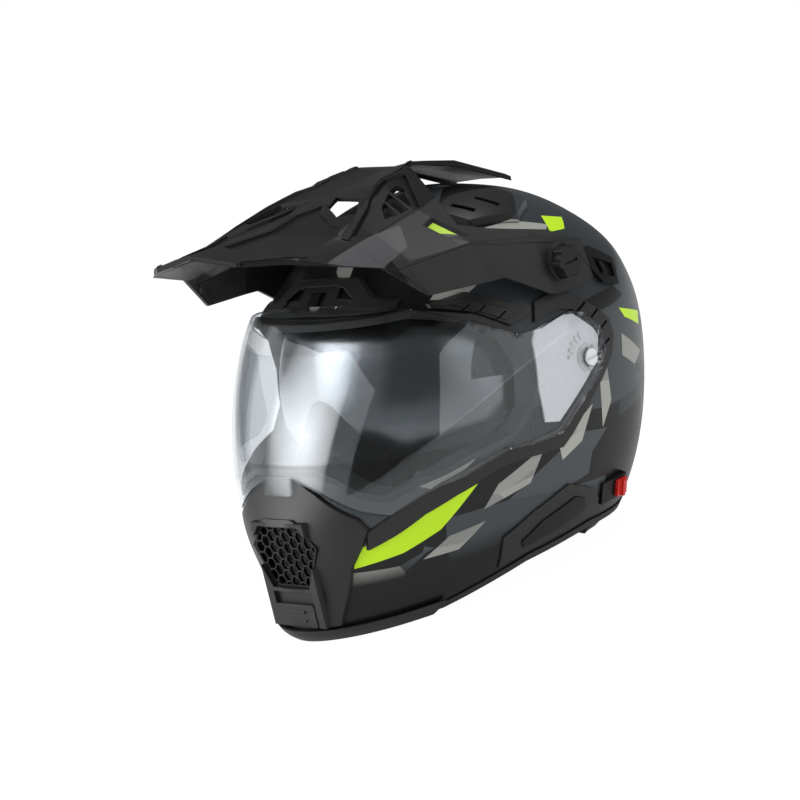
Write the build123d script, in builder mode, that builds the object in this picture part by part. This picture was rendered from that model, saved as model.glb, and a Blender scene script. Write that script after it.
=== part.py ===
from build123d import *
from math import copysign, cos, pi, sin
import os

os.makedirs("parts", exist_ok=True)

# A full-face helmet for road and trail riding, with a peak, a clear shield and an inner sun visor.
# Millimetres. It stands on its rim at Z = 0 and faces -Y; the wearer's left is +X.

# The shell's overall sizes, its lengths taken from the shield's pivot axis
front_reach = 188
rear_reach = 140
half_width = 129
shell_height = 264
peak_reach = 206
shell_wall = 4

# Clearances
fit_gap = 0.3
running_gap = 0.6
cut_overrun = 30

# Places that follow from the sizes
pivot_y = (peak_reach - rear_reach) / 2
pivot_height_share = 0.53
pivot_z = pivot_height_share * shell_height
half_length = (front_reach + rear_reach) / 2
form_middle_y = pivot_y + (rear_reach - front_reach) / 2
beyond_x = half_width + cut_overrun
beyond_front_y = pivot_y - peak_reach - cut_overrun
beyond_z = shell_height + 2 * cut_overrun

# Each level of the shell's form: its height as a share of the shell's, its front as a share of the front
# reach, its rear of the rear reach, its half width of the shell's, the place of its widest line as a share
# of the front reach behind the pivots, and how square its front and rear curves are.
form_level_shares = [
    (0, 0.973, 0.63, 0.665, -0.03, 1.9, 2.2),
    (0.114, 0.99, 0.77, 0.82, -0.03, 2.0, 2.2),
    (0.227, 1.0, 0.885, 0.90, 0, 2.05, 2.2),
    (0.341, 0.97, 0.957, 0.945, 0.03, 2.15, 2.2),
    (0.42, 0.915, 0.985, 0.972, 0.04, 2.2, 2.2),
    (0.568, 0.835, 1.0, 1.0, 0.05, 2.2, 2.2),
    (0.682, 0.745, 0.957, 0.97, 0.06, 2.2, 2.2),
    (0.776, 0.617, 0.871, 0.884, 0.06, 2.2, 2.2),
    (0.852, 0.505, 0.743, 0.752, 0.06, 2.15, 2.15),
    (0.917, 0.383, 0.586, 0.581, 0.06, 2.1, 2.1),
    (0.962, 0.245, 0.4, 0.388, 0.055, 2.0, 2.0),
    (0.989, 0.117, 0.229, 0.202, 0.04, 2.0, 2.0),
    (1, 0.011, 0.086, 0.054, 0.025, 2.0, 2.0),
]
# The shield's own form, fuller in front than the shell; at the pivots its half width is the lobe share
lobe_share = 1.045
shield_level_shares = [
    (0.19, 0.979, 0.97, 0.93, 0.03, 2.25, 2.2),
    (0.303, 0.975, 0.98, 0.98, 0.035, 2.25, 2.2),
    (0.394, 0.957, 1.0, 1.02, 0.04, 2.25, 2.2),
    (0.492, 0.915, 1.02, lobe_share, 0.045, 2.25, 2.2),
    (0.606, 0.84, 1.02, 1.043, 0.05, 2.25, 2.2),
    (0.72, 0.739, 0.98, 1.0, 0.055, 2.25, 2.2),
    (0.811, 0.633, 0.92, 0.9, 0.06, 2.25, 2.2),
    (0.867, 0.545, 0.86, 0.8, 0.06, 2.25, 2.2),
]
level_point_count = 16


def ring_points(front_share, rear_share, width_share, middle_share, front_power, rear_power):
    """Points round one level of a form from the nape on, squarer than an ellipse by its powers."""
    middle = middle_share * front_reach
    points = []
    for index in range(level_point_count):
        angle = 2 * pi * index / level_point_count + pi / 2
        power = front_power if sin(angle) < 0 else rear_power
        reach = middle + front_share * front_reach if sin(angle) < 0 else rear_share * rear_reach - middle
        across = copysign(abs(cos(angle)) ** (2 / power), cos(angle))
        along = copysign(abs(sin(angle)) ** (2 / power), sin(angle))
        points.append((width_share * half_width * across, middle + reach * along + pivot_y - form_middle_y))
    return points


def lofted_form(level_shares):
    """A smooth solid through level rings, standing about the middle of its length."""
    with BuildPart() as form:
        for height_share, *ring_shares in level_shares:
            with BuildSketch(Plane.XY.offset(height_share * shell_height)):
                with BuildLine():
                    Spline(*ring_points(*ring_shares), periodic=True)
                make_face()
        loft()
    return form.part


shell_form = lofted_form(form_level_shares)
lens_form = lofted_form(shield_level_shares)


def grown(form, growth):
    """A form in its place, with its skin moved outwards by growth."""
    factors = (1 + growth / half_width, 1 + growth / half_length, 1 + growth / shell_height)
    return Pos(0, form_middle_y, 0) * scale(form, by=factors, mode=Mode.PRIVATE)


def side_points(shares):
    """Points of a side view: shares of the front reach behind the pivots, and of the shell's height."""
    return [(pivot_y + y * front_reach, z * shell_height) for y, z in shares]


def front_points(shares):
    """Points of a front view: shares of the half width, and of the shell's height."""
    return [(x * half_width, z * shell_height) for x, z in shares]


def plan_points(shares, reach=front_reach):
    """Points of a plan view: shares of the half width, and of a reach behind the pivots."""
    return [(x * half_width, pivot_y + y * reach) for x, y in shares]


def both_sides(points):
    """An outline given from the middle line outwards and back, closed by its mirror image."""
    return points + [(-x, other) for x, other in reversed(points) if x > 0]


def outline(points, corner):
    """A closed outline with rounded corners, or with sharp ones where corner is zero."""
    if corner:
        FilletPolyline(*points, radius=corner, close=True)
    else:
        Polyline(*points, close=True)


def side_block(points, corner, inner_x, outer_x):
    """A side-view outline pushed from inner_x to outer_x."""
    with BuildPart() as block:
        with BuildSketch(Plane.YZ.offset(inner_x)):
            with BuildLine():
                outline(points, corner)
            make_face()
        extrude(amount=outer_x - inner_x)
    return block.part


def front_block(points, corner, front_y, rear_y):
    """A front-view outline pushed from rear_y forward to front_y."""
    with BuildPart() as block:
        with BuildSketch(Plane.XZ.offset(-rear_y)):
            with BuildLine():
                outline(points, corner)
            make_face()
        extrude(amount=rear_y - front_y)
    return block.part


def skin_panel(form, block, seat, face):
    """What a block holds between two growths of a form."""
    with BuildPart() as panel:
        add(grown(form, face))
        add(block, mode=Mode.INTERSECT)
        add(grown(form, seat), mode=Mode.SUBTRACT)
    return panel.part


# Eye port: its side view, and the chin bar's upper edge in the front view
port_corner = 7
port_side_shares = [
    (-1.2, 0.77), (-0.52, 0.77), (-0.38, 0.725), (-0.287, 0.667), (-0.255, 0.568),
    (-0.287, 0.462), (-0.383, 0.402), (-0.55, 0.385), (-0.69, 0.36), (-0.7, 0.25), (-1.2, 0.25),
]
port_chin_shares = [
    (0, 0.428), (0.23, 0.424), (0.35, 0.398), (0.46, 0.358), (0.56, 0.338), (0.66, 0.355),
    (0.8, 0.372), (1.3, 0.372),
]


def port_block(inset):
    """The eye port as a block, its edge moved inwards by inset."""
    sides = [(x, z + inset) for x, z in front_points(port_chin_shares)]
    floor = [(sides[-1][0], -cut_overrun)]
    with BuildPart() as block:
        with BuildSketch(Plane.YZ.offset(-beyond_x)):
            with BuildLine():
                FilletPolyline(*side_points(port_side_shares), radius=port_corner, close=True)
            make_face()
            offset(amount=-inset)
        extrude(amount=2 * beyond_x)
        with BuildSketch(Plane.XZ.offset(-pivot_y)):
            with BuildLine():
                Polyline(*both_sides(sides + floor), close=True)
            make_face()
        extrude(amount=front_reach + cut_overrun, mode=Mode.SUBTRACT)
    return block.part


# Rim: the lower edge arches up a little at the sides, and the shell stops short of its rubber trim
rim_trim_height = 5
rim_trim_sole = 3
rim_shares = [(-0.64, 0.008), (-0.32, 0.053), (0, 0.064), (0.32, 0.045), (0.55, 0.015), (1.1, 0.015)]


def below_rim(lift):
    """The space below the rim's line, raised by lift."""
    line = [(y, z + lift) for y, z in side_points(rim_shares)]
    ends = [(line[-1][0], -cut_overrun), (beyond_front_y, -cut_overrun), (beyond_front_y, line[0][1])]
    return side_block(line + ends, 0, -beyond_x, beyond_x)


# Chin vent's duct through the shell, and the outline of its hexagonal mouth
duct_half_width = 26
duct_low_z = 11
duct_high_z = 85
duct_back_depth = 3.5
mouth_shares = [(0, 0.312), (0.15, 0.312), (0.25, 0.255), (0.14, 0.146), (0, 0.146)]
with BuildPart() as duct_block:
    with BuildSketch(Plane.XY.offset(duct_low_z)):
        with Locations((0, pivot_y - front_reach)):
            Rectangle(2 * duct_half_width, 2 * cut_overrun)
    extrude(amount=duct_high_z - duct_low_z)

# Outer shell
shell_outside = grown(shell_form, 0)
shell_inside = grown(shell_form, -shell_wall)
shell_cuts = [duct_block.part, below_rim(rim_trim_sole + fit_gap), port_block(0)]
with BuildPart() as outer_shell:
    add(shell_outside)
    add(shell_inside, mode=Mode.SUBTRACT)
    add(shell_cuts, mode=Mode.SUBTRACT)
outer_shell.part.label = "outer_shell"
export_step(outer_shell.part, "parts/outer_shell.step")

# Sun visor: a band swept about its own axis, so that it slides up into a pocket in the foam liner. Two arms
# run back from its lens to ears that turn on pins inside the shell.
visor_radius = 118.5
visor_half_span = 112
visor_wall = 2
visor_pocket_gap = 1.2
visor_ear_radius = 9
visor_pin_radius = 3
visor_pin_head_radius = 6
visor_pin_head_height = 1.5
visor_low_angle = -20
visor_down_angle = 42
visor_pocket_angle = 84
visor_axis_y_share = -0.053
visor_axis_z_share = 0.4925
visor_edge_shares = [
    (0, 0.57), (0.08, 0.556), (0.19, 0.5), (0.29, 0.43), (0.38, 0.412), (0.5, 0.416), (0.62, 0.435),
    (0.72, 0.52), (0.72, 1.2), (0, 1.2),
]
visor_arm_shares = [(-0.5, 0.57), (-0.053, 0.525), (-0.053, 0.46), (-0.5, 0.44)]
visor_axis_y = pivot_y + visor_axis_y_share * front_reach
visor_axis_z = visor_axis_z_share * shell_height
visor_axis = Axis((0, visor_axis_y, visor_axis_z), (1, 0, 0))
visor_front = Plane(origin=(0, visor_axis_y, visor_axis_z), x_dir=(1, 0, 0), z_dir=(0, 0, 1))
visor_level = Plane(origin=(0, visor_axis_y, visor_axis_z), x_dir=(0, 1, 0), z_dir=(1, 0, 0))


def visor_band(outer_growth, inner_growth, from_angle, to_angle):
    """The band that the visor's section sweeps between two angles above the level."""
    with BuildPart() as band:
        with BuildSketch(visor_front.rotated((-from_angle, 0, 0))):
            Ellipse(visor_half_span + outer_growth, visor_radius + outer_growth)
            Ellipse(visor_half_span + inner_growth, visor_radius + inner_growth, mode=Mode.SUBTRACT)
            with Locations((0, visor_radius)):
                Rectangle(4 * visor_half_span, 2 * visor_radius, mode=Mode.SUBTRACT)
        revolve(axis=visor_axis, revolution_arc=from_angle - to_angle)
    return band.part


def visor_discs(radius, inner_x, outer_x):
    """A round disc about the visor's axis on each side."""
    with BuildPart() as discs:
        for side in (1, -1):
            with BuildSketch(visor_level.offset(side * inner_x)):
                Circle(radius)
            extrude(amount=side * (outer_x - inner_x))
    return discs.part


visor_side = visor_band(0, -visor_wall, visor_low_angle, visor_down_angle)
visor_edge = both_sides(front_points(visor_edge_shares))
visor_front_block = front_block(visor_edge, 0, beyond_front_y, visor_axis_y)
visor_arm_block = side_block(side_points(visor_arm_shares), 0, -beyond_x, beyond_x)
visor_ears = visor_discs(visor_ear_radius, visor_half_span - visor_wall, visor_half_span)
visor_pin_holes = visor_discs(visor_pin_radius + fit_gap, visor_half_span / 2, beyond_x)
with BuildPart() as visor_outline:
    add(visor_front_block)
    add(visor_arm_block)
with BuildPart() as sun_visor:
    add(visor_side)
    add(visor_outline.part, mode=Mode.INTERSECT)
    add(visor_ears)
    add(visor_pin_holes, mode=Mode.SUBTRACT)
sun_visor.part.label = "sun_visor"
export_step(sun_visor.part, "parts/sun_visor.step")

# Foam liner, with the pocket over the brow and crown for the sun visor and a well round each of its ears
eps_wall = 30
eps_seat = -shell_wall - fit_gap
eps_floor_shares = [(-1.1, 0.05), (-0.5, 0.09), (0, 0.135), (0.08, 0.145), (0.12, 0.15), (1.1, 0.15)]
eps_floor_line = side_points(eps_floor_shares)
eps_floor_ends = [(eps_floor_line[-1][0], -cut_overrun), (eps_floor_line[0][0], -cut_overrun)]
eps_floor = side_block(eps_floor_line + eps_floor_ends, 0, -beyond_x, beyond_x)
visor_pocket = visor_band(cut_overrun, -visor_wall - visor_pocket_gap, visor_low_angle, visor_pocket_angle)
visor_ear_wells = visor_discs(
    visor_ear_radius + visor_pocket_gap, visor_half_span - visor_wall - visor_pocket_gap, beyond_x)
eps_outside = grown(shell_form, eps_seat)
eps_inside = grown(shell_form, eps_seat - eps_wall)
eps_cuts = [eps_inside, eps_floor, port_block(0), visor_pocket, visor_ear_wells]
with BuildPart() as eps_liner:
    add(eps_outside)
    add(eps_cuts, mode=Mode.SUBTRACT)
eps_liner.part.label = "eps_liner"
export_step(eps_liner.part, "parts/eps_liner.step")

# Pins that the sun visor's ears turn on, with flanges against the inside of the shell
visor_pin_space = grown(shell_form, eps_seat)
with BuildPart() as visor_pin_left:
    with BuildSketch(visor_level.offset(visor_half_span + fit_gap)):
        Circle(visor_pin_head_radius)
    extrude(amount=cut_overrun)
    with BuildSketch(visor_level.offset(visor_half_span + fit_gap)):
        Circle(visor_pin_radius)
    extrude(amount=-visor_wall - visor_pin_head_height)
    add(visor_pin_space, mode=Mode.INTERSECT)
visor_pin_left.part.label = "visor_pin_left"
export_step(visor_pin_left.part, "parts/visor_pin_left.step")

# Crown pad, cheek pads and neck roll
pad_seat = eps_seat - eps_wall - fit_gap
crown_pad_wall = 11
crown_pad_shares = [
    (-0.5, 0.79), (-0.3, 0.75), (-0.12, 0.6), (0.05, 0.46), (0.6, 0.36), (1, 0.36), (1, 1.1), (-0.5, 1.1),
]
crown_pad_block = side_block(side_points(crown_pad_shares), 0, -beyond_x, beyond_x)
crown_pad = skin_panel(shell_form, crown_pad_block, pad_seat - crown_pad_wall, pad_seat)
with BuildPart() as comfort_liner:
    add(crown_pad)
comfort_liner.part.label = "comfort_liner"
export_step(comfort_liner.part, "parts/comfort_liner.step")

cheek_pad_wall = 27
cheek_pad_inner_x = 40
cheek_pad_corner = 5
cheek_pad_shares = [
    (-0.56, 0.15), (-0.6, 0.3), (-0.52, 0.35), (-0.32, 0.37), (-0.2, 0.43), (-0.1, 0.42),
    (-0.07, 0.25), (-0.1, 0.16),
]
cheek_block = side_block(side_points(cheek_pad_shares), cheek_pad_corner, cheek_pad_inner_x, beyond_x)
cheek_pad = skin_panel(shell_form, cheek_block, pad_seat - cheek_pad_wall, pad_seat)
with BuildPart() as cheek_pad_left:
    add(cheek_pad)
cheek_pad_left.part.label = "cheek_pad_left"
export_step(cheek_pad_left.part, "parts/cheek_pad_left.step")

neck_roll_wall = 22
neck_roll_top = [(y, z - fit_gap) for y, z in eps_floor_line[3:]]
neck_roll_foot = [(neck_roll_top[-1][0], 0), (neck_roll_top[0][0], 0)]
neck_roll_block = side_block(neck_roll_top + neck_roll_foot, 0, -beyond_x, beyond_x)

# Rubber trim: a channel that holds the rim of the shell, from the chin round to the nape
trim_proud = 1.6
trim_back = 1.2
trim_outside = grown(shell_form, trim_proud)
trim_inside = grown(shell_form, -shell_wall - trim_back)
trim_zone = below_rim(rim_trim_height)
trim_groove_zone = below_rim(rim_trim_sole)
with BuildPart() as trim_groove:
    add(grown(shell_form, fit_gap))
    add(grown(shell_form, eps_seat), mode=Mode.SUBTRACT)
    add(trim_groove_zone, mode=Mode.SUBTRACT)
with BuildPart() as neck_trim:
    add(trim_outside)
    add(trim_zone, mode=Mode.INTERSECT)
    add([trim_inside, below_rim(0), trim_groove.part], mode=Mode.SUBTRACT)
neck_trim.part.label = "neck_trim"
export_step(neck_trim.part, "parts/neck_trim.step")

neck_roll_seat = -shell_wall - trim_back - fit_gap
neck_roll_skin = skin_panel(shell_form, neck_roll_block, neck_roll_seat - neck_roll_wall, neck_roll_seat)
with BuildPart() as neck_roll:
    add(neck_roll_skin)
neck_roll.part.label = "neck_roll"
export_step(neck_roll.part, "parts/neck_roll.step")

# Clear shield: a lens with lobes that turn on two buttons, and an anti-fog pane inside it
shield_wall = 2.2
shield_corner = 5
shield_side_shares = [
    (-1.22, 0.811), (-0.638, 0.811), (-0.532, 0.773), (-0.415, 0.712), (-0.282, 0.652), (-0.186, 0.648),
    (-0.059, 0.663), (0.02, 0.645), (0.085, 0.59), (0.085, 0.53), (0.05, 0.49), (-0.191, 0.371),
    (-0.319, 0.371), (-0.415, 0.383), (-0.521, 0.367), (-0.649, 0.345), (-0.72, 0.265), (-1.22, 0.265),
]
shield_chin_rear_share = -0.62
shield_chin_shares = [
    (0, 0.424), (0.093, 0.424), (0.24, 0.394), (0.45, 0.33), (0.574, 0.303), (0.705, 0.337),
    (0.76, 0.348), (1.3, 0.348),
]
pivot_button_radius = 6
pivot_plane = Plane(origin=(0, pivot_y, pivot_z), x_dir=(0, 1, 0), z_dir=(1, 0, 0))
shield_sides = side_block(side_points(shield_side_shares), shield_corner, -beyond_x, beyond_x)
shield_chin_line = front_points(shield_chin_shares)
shield_chin_rear_y = pivot_y + shield_chin_rear_share * front_reach
shield_chin_floor = [(shield_chin_line[-1][0], -cut_overrun)]
shield_chin_outline = both_sides(shield_chin_line + shield_chin_floor)
shield_chin_block = front_block(shield_chin_outline, 0, beyond_front_y, shield_chin_rear_y)
lens_skin = skin_panel(lens_form, shield_sides, -shield_wall, 0)
with BuildPart() as shield:
    add(lens_skin)
    add(shield_chin_block, mode=Mode.SUBTRACT)
    with BuildSketch(pivot_plane):
        Circle(pivot_button_radius + fit_gap)
    extrude(amount=beyond_x, both=True, mode=Mode.SUBTRACT)
shield.part.label = "shield"
export_step(shield.part, "parts/shield.step")

pane_gap = 0.5
pane_wall = 1
pane_corner = 12
pane_shares = [
    (-1.2, 0.7), (-0.54, 0.7), (-0.41, 0.65), (-0.4, 0.46), (-0.5, 0.43), (-0.7, 0.44), (-1.2, 0.47),
]
pane_block = side_block(side_points(pane_shares), pane_corner, -beyond_x, beyond_x)
pane_skin = skin_panel(lens_form, pane_block, -shield_wall - pane_gap - pane_wall, -shield_wall - pane_gap)
with BuildPart() as anti_fog_pane:
    add(pane_skin)
anti_fog_pane.part.label = "anti_fog_pane"
export_step(anti_fog_pane.part, "parts/anti_fog_pane.step")

# Eye port gasket: a rubber lip along the port's edge that stands up to just behind the lens
gasket_width = 4.5
gasket_depth = 9
gasket_block = port_block(fit_gap)
gasket_hole = port_block(gasket_width)
gasket_outside = grown(lens_form, -shield_wall - running_gap)
gasket_inside = grown(shell_form, -gasket_depth)
with BuildPart() as eye_port_gasket:
    add(gasket_outside)
    add(gasket_block, mode=Mode.INTERSECT)
    add([gasket_hole, gasket_inside], mode=Mode.SUBTRACT)
eye_port_gasket.part.label = "eye_port_gasket"
export_step(eye_port_gasket.part, "parts/eye_port_gasket.step")

# Outline of the chin guard, and the space that the side trims leave for it
guard_shares = [
    (0, 0.42), (0.1, 0.42), (0.24, 0.382), (0.445, 0.312), (0.48, 0.28), (0.45, 0.25), (0.365, 0.19),
    (0.28, 0.085), (0.25, 0.042), (0, 0.042),
]
guard_rear_y = pivot_y - front_reach / 2
guard_points = both_sides(front_points(guard_shares))
with BuildPart() as guard_space:
    with BuildSketch(Plane.XZ.offset(-guard_rear_y)):
        with BuildLine():
            Polyline(*guard_points, close=True)
        make_face()
        offset(amount=fit_gap, kind=Kind.INTERSECTION)
    extrude(amount=front_reach)

# Side trims: satin frames round the shield's lobes that run on along the chin bar, with slanted slots
trim_face = 2.2
trim_slot_width = 2
side_trim_shares = [
    (-0.19, 0.663), (-0.155, 0.71), (-0.043, 0.72), (0.021, 0.69), (0.112, 0.64), (0.17, 0.595),
    (0.176, 0.553), (0.144, 0.504), (0.069, 0.455), (-0.005, 0.413), (-0.117, 0.348), (-0.165, 0.327),
    (-0.383, 0.341), (-0.447, 0.341), (-0.564, 0.318), (-0.718, 0.284), (-0.809, 0.25), (-0.883, 0.227),
    (-0.883, 0.273), (-0.809, 0.304), (-0.745, 0.326), (-0.649, 0.35), (-0.521, 0.37), (-0.415, 0.382),
    (-0.319, 0.376), (-0.181, 0.38), (-0.011, 0.462), (0.069, 0.511), (0.096, 0.568), (0.08, 0.598),
    (-0.011, 0.659), (-0.059, 0.67),
]
trim_slot_shares = [
    ((0.005, 0.648), (0.064, 0.663)), ((0.053, 0.617), (0.117, 0.633)), ((0.09, 0.58), (0.149, 0.595)),
    ((0.069, 0.53), (0.144, 0.549)),
]
side_trim_block = side_block(side_points(side_trim_shares), 0, 0, beyond_x)
side_trim_skin = skin_panel(shell_form, side_trim_block, fit_gap, trim_face)
with BuildPart() as side_trim_left:
    add(side_trim_skin)
    add(guard_space.part, mode=Mode.SUBTRACT)
    with BuildSketch(Plane.YZ):
        for ends in trim_slot_shares:
            with BuildLine(mode=Mode.PRIVATE) as slot_line:
                Line(*side_points(ends))
            trace(slot_line.line, trim_slot_width)
    extrude(amount=beyond_x, mode=Mode.SUBTRACT)
side_trim_left.part.label = "side_trim_left"
export_step(side_trim_left.part, "parts/side_trim_left.step")

# Pivot plates under the lobes, each with a socket for the button and an arc of ratchet teeth
plate_face = 1.9
plate_socket_wall = 3
plate_lobe_gap = 0.8
plate_shares = [
    (-0.2, 0.645), (-0.06, 0.655), (-0.014, 0.648), (0.068, 0.592), (0.083, 0.568), (0.058, 0.517),
    (-0.016, 0.473), (-0.17, 0.397), (-0.235, 0.41), (-0.245, 0.5), (-0.225, 0.62),
]
ratchet_tooth_count = 5
ratchet_first_angle = 100
ratchet_arc_angle = 64
ratchet_radius = 16
ratchet_tooth_length = 5
ratchet_tooth_width = 2
lobe_x = lobe_share * half_width
plate_top_x = lobe_x - shield_wall - plate_lobe_gap
plate_root_x = half_width - shell_wall
plate_block = side_block(side_points(plate_shares), 0, 0, beyond_x)
plate_skin = skin_panel(shell_form, plate_block, fit_gap, plate_face)
plate_core = grown(shell_form, fit_gap)
with BuildPart() as pivot_plate_left:
    with BuildSketch(pivot_plane.offset(plate_root_x)):
        Circle(pivot_button_radius + fit_gap + plate_socket_wall)
        with PolarLocations(
                ratchet_radius, ratchet_tooth_count, ratchet_first_angle, ratchet_arc_angle, endpoint=True):
            Rectangle(ratchet_tooth_length, ratchet_tooth_width)
    extrude(amount=plate_top_x - plate_root_x)
    add(plate_core, mode=Mode.SUBTRACT)
    add(plate_skin)
    with BuildSketch(pivot_plane):
        Circle(pivot_button_radius + fit_gap)
    extrude(amount=beyond_x, mode=Mode.SUBTRACT)
pivot_plate_left.part.label = "pivot_plate_left"
export_step(pivot_plate_left.part, "parts/pivot_plate_left.step")

# Pivot buttons, their caps proud of the lobes and slotted for a coin
pivot_cap_proud = 1.4
pivot_cap_chamfer = 0.7
coin_slot_width = 2
coin_slot_depth = 1.2
button_seat_x = half_width + fit_gap
with BuildPart() as pivot_button_left:
    with BuildSketch(pivot_plane.offset(button_seat_x)):
        Circle(pivot_button_radius)
    extrude(amount=lobe_x + pivot_cap_proud - button_seat_x)
    chamfer(pivot_button_left.faces().sort_by(Axis.X)[-1].edges(), pivot_cap_chamfer)
    with BuildSketch(pivot_plane.offset(lobe_x + pivot_cap_proud)):
        Rectangle(2 * pivot_button_radius, coin_slot_width)
    extrude(amount=-coin_slot_depth, mode=Mode.SUBTRACT)
pivot_button_left.part.label = "pivot_button_left"
export_step(pivot_button_left.part, "parts/pivot_button_left.step")

# Chin guard: a plate over the chin bar with a hexagonal mouth, a shutter pocket and a plug in the duct
guard_face = 3.2
guard_rim_face = 5
mouth_rim_width = 5
latch_half_width = 13
latch_low_share = 0.382
latch_height = 12.7
shutter_half_width = 18.5
shutter_height = 16
shutter_travel = 8
shutter_wall = 3.4
shutter_low_share = 0.043
pocket_floor = 2
plug_front_y = pivot_y - front_reach
plug_back_y = plug_front_y + duct_back_depth
pocket_y = plug_back_y - pocket_floor
shutter_run = shutter_height + shutter_travel
shutter_low_z = shutter_low_share * shell_height
latch_low_z = latch_low_share * shell_height
mouth_points = both_sides(front_points(mouth_shares))
guard_block = front_block(guard_points, 0, beyond_front_y, guard_rear_y)
guard_skin = skin_panel(shell_form, guard_block, fit_gap, guard_face)
mouth_block = front_block(mouth_points, 0, beyond_front_y, form_middle_y)
mouth_rim_form = grown(shell_form, guard_rim_face)
with BuildPart() as mouth_rim:
    with BuildSketch(Plane.XZ.offset(-plug_front_y)):
        with BuildLine():
            Polyline(*mouth_points, close=True)
        make_face()
        offset(amount=mouth_rim_width, kind=Kind.INTERSECTION)
    extrude(amount=cut_overrun)
    add(mouth_rim_form, mode=Mode.INTERSECT)
with BuildPart() as chin_guard:
    add(guard_skin)
    add(mouth_rim.part)
    with BuildSketch(Plane.XZ.offset(-plug_back_y)):
        with Locations((0, (duct_low_z + duct_high_z) / 2)):
            Rectangle(2 * (duct_half_width - fit_gap), duct_high_z - duct_low_z - 2 * fit_gap)
    extrude(amount=plug_back_y - plug_front_y + guard_face / 2)
    with BuildSketch(Plane.XZ.offset(-pocket_y)):
        with Locations((0, shutter_low_z + shutter_run / 2)):
            Rectangle(2 * (shutter_half_width + running_gap), shutter_run + 2 * running_gap)
        with Locations((0, latch_low_z + cut_overrun / 2)):
            Rectangle(2 * (latch_half_width + running_gap), cut_overrun)
    extrude(amount=cut_overrun, mode=Mode.SUBTRACT)
    add(mouth_block, mode=Mode.SUBTRACT)
chin_guard.part.label = "chin_guard"
export_step(chin_guard.part, "parts/chin_guard.step")

# Honeycomb grille in the guard's mouth
grille_wall = 2.4
grille_cell_radius = 4
grille_web = 1.2
grille_rim = 1.4
grille_row_count = 8
grille_column_count = 10
grille_middle_share = 0.229
with BuildPart() as chin_grille:
    with BuildSketch(Plane.XZ.offset(-plug_back_y)):
        with BuildLine():
            Polyline(*mouth_points, close=True)
        make_face()
        offset(amount=-fit_gap)
    extrude(amount=grille_wall)
    with BuildSketch(Plane.XZ.offset(-plug_back_y)):
        with BuildLine():
            Polyline(*mouth_points, close=True)
        make_face()
        offset(amount=-fit_gap - grille_rim)
        with Locations((0, grille_middle_share * shell_height)):
            with HexLocations(grille_cell_radius, grille_column_count, grille_row_count) as cells:
                cell_places = cells.locations
        with BuildSketch(mode=Mode.PRIVATE) as grille_cells:
            with Locations(*cell_places):
                RegularPolygon(grille_cell_radius - grille_web / 2, 6, major_radius=False)
        add(grille_cells.sketch, mode=Mode.INTERSECT)
    extrude(amount=grille_wall, mode=Mode.SUBTRACT)
chin_grille.part.label = "chin_grille"
export_step(chin_grille.part, "parts/chin_grille.step")

# Chin vent shutter, with two grip ribs
shutter_corner = 2
shutter_rib_count = 2
shutter_rib_pitch = 6
shutter_rib_width = 1.6
shutter_rib_proud = 1
shutter_back_y = pocket_y - fit_gap
with BuildPart() as chin_shutter:
    with BuildSketch(Plane.XZ.offset(-shutter_back_y)):
        with Locations((0, shutter_low_z + shutter_height / 2)):
            RectangleRounded(2 * shutter_half_width, shutter_height, shutter_corner)
    extrude(amount=shutter_wall)
    with BuildSketch(Plane.XZ.offset(shutter_wall - shutter_back_y)):
        with Locations((0, shutter_low_z + shutter_height / 2)):
            with GridLocations(0, shutter_rib_pitch, 1, shutter_rib_count):
                Rectangle(shutter_half_width, shutter_rib_width)
    extrude(amount=shutter_rib_proud)
chin_shutter.part.label = "chin_shutter"
export_step(chin_shutter.part, "parts/chin_shutter.step")

# Chin lip: a satin trim round the front of the rim
lip_face = 5
lip_height = 9.5
lip_rake = 5.6
lip_rear_share = -0.65
lip_rear_y = pivot_y + lip_rear_share * front_reach
lip_foot = [(lip_rear_y - lip_rake, 0), (beyond_front_y, 0)]
lip_points = [(beyond_front_y, lip_height), (lip_rear_y, lip_height), *lip_foot]
lip_block = side_block(lip_points, 0, -beyond_x, beyond_x)
lip_skin = skin_panel(shell_form, lip_block, trim_proud + fit_gap, lip_face)
with BuildPart() as chin_lip:
    add(lip_skin)
chin_lip.part.label = "chin_lip"
export_step(chin_lip.part, "parts/chin_lip.step")

# Latch tab in front of the lower edge of the lens
latch_face = 2.2
latch_foot_z = latch_low_z + running_gap
latch_top_z = latch_low_z + latch_height
latch_foot = [(0, latch_foot_z), (latch_half_width, latch_foot_z)]
latch_points = latch_foot + [(latch_half_width, latch_top_z), (0, latch_top_z)]
latch_block = front_block(both_sides(latch_points), 0, beyond_front_y, guard_rear_y)
latch_skin = skin_panel(lens_form, latch_block, fit_gap / 2, latch_face)
with BuildPart() as latch_tab:
    add(latch_skin)
latch_tab.part.label = "latch_tab"
export_step(latch_tab.part, "parts/latch_tab.step")

# Brow vent: a trapezoid frame with a recess, two side mouths, and a slider in the middle
brow_frame_face = 4
brow_recess_face = 2.2
brow_slider_width = 10
brow_slider_length = 7
brow_slider_height = 2.6
brow_rear_share = -0.3
brow_slider_share = 0.818
brow_frame_shares = [(0, 0.86), (0.24, 0.855), (0.36, 0.812), (0.5, 0.793), (0.5, 0.776), (0, 0.785)]
brow_recess_shares = [(0, 0.845), (0.12, 0.845), (0.27, 0.802), (0, 0.796)]
brow_mouth_shares = [(0.14, 0.84), (0.17, 0.84), (0.27, 0.812), (0.14, 0.816)]
brow_rear_y = pivot_y + brow_rear_share * front_reach
brow_frame_outline = both_sides(front_points(brow_frame_shares))
brow_recess_outline = both_sides(front_points(brow_recess_shares))
brow_frame_block = front_block(brow_frame_outline, 0, beyond_front_y, brow_rear_y)
brow_recess_block = front_block(brow_recess_outline, 0, beyond_front_y, brow_rear_y)
brow_mouth_block = front_block(front_points(brow_mouth_shares), 0, beyond_front_y, brow_rear_y)
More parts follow.
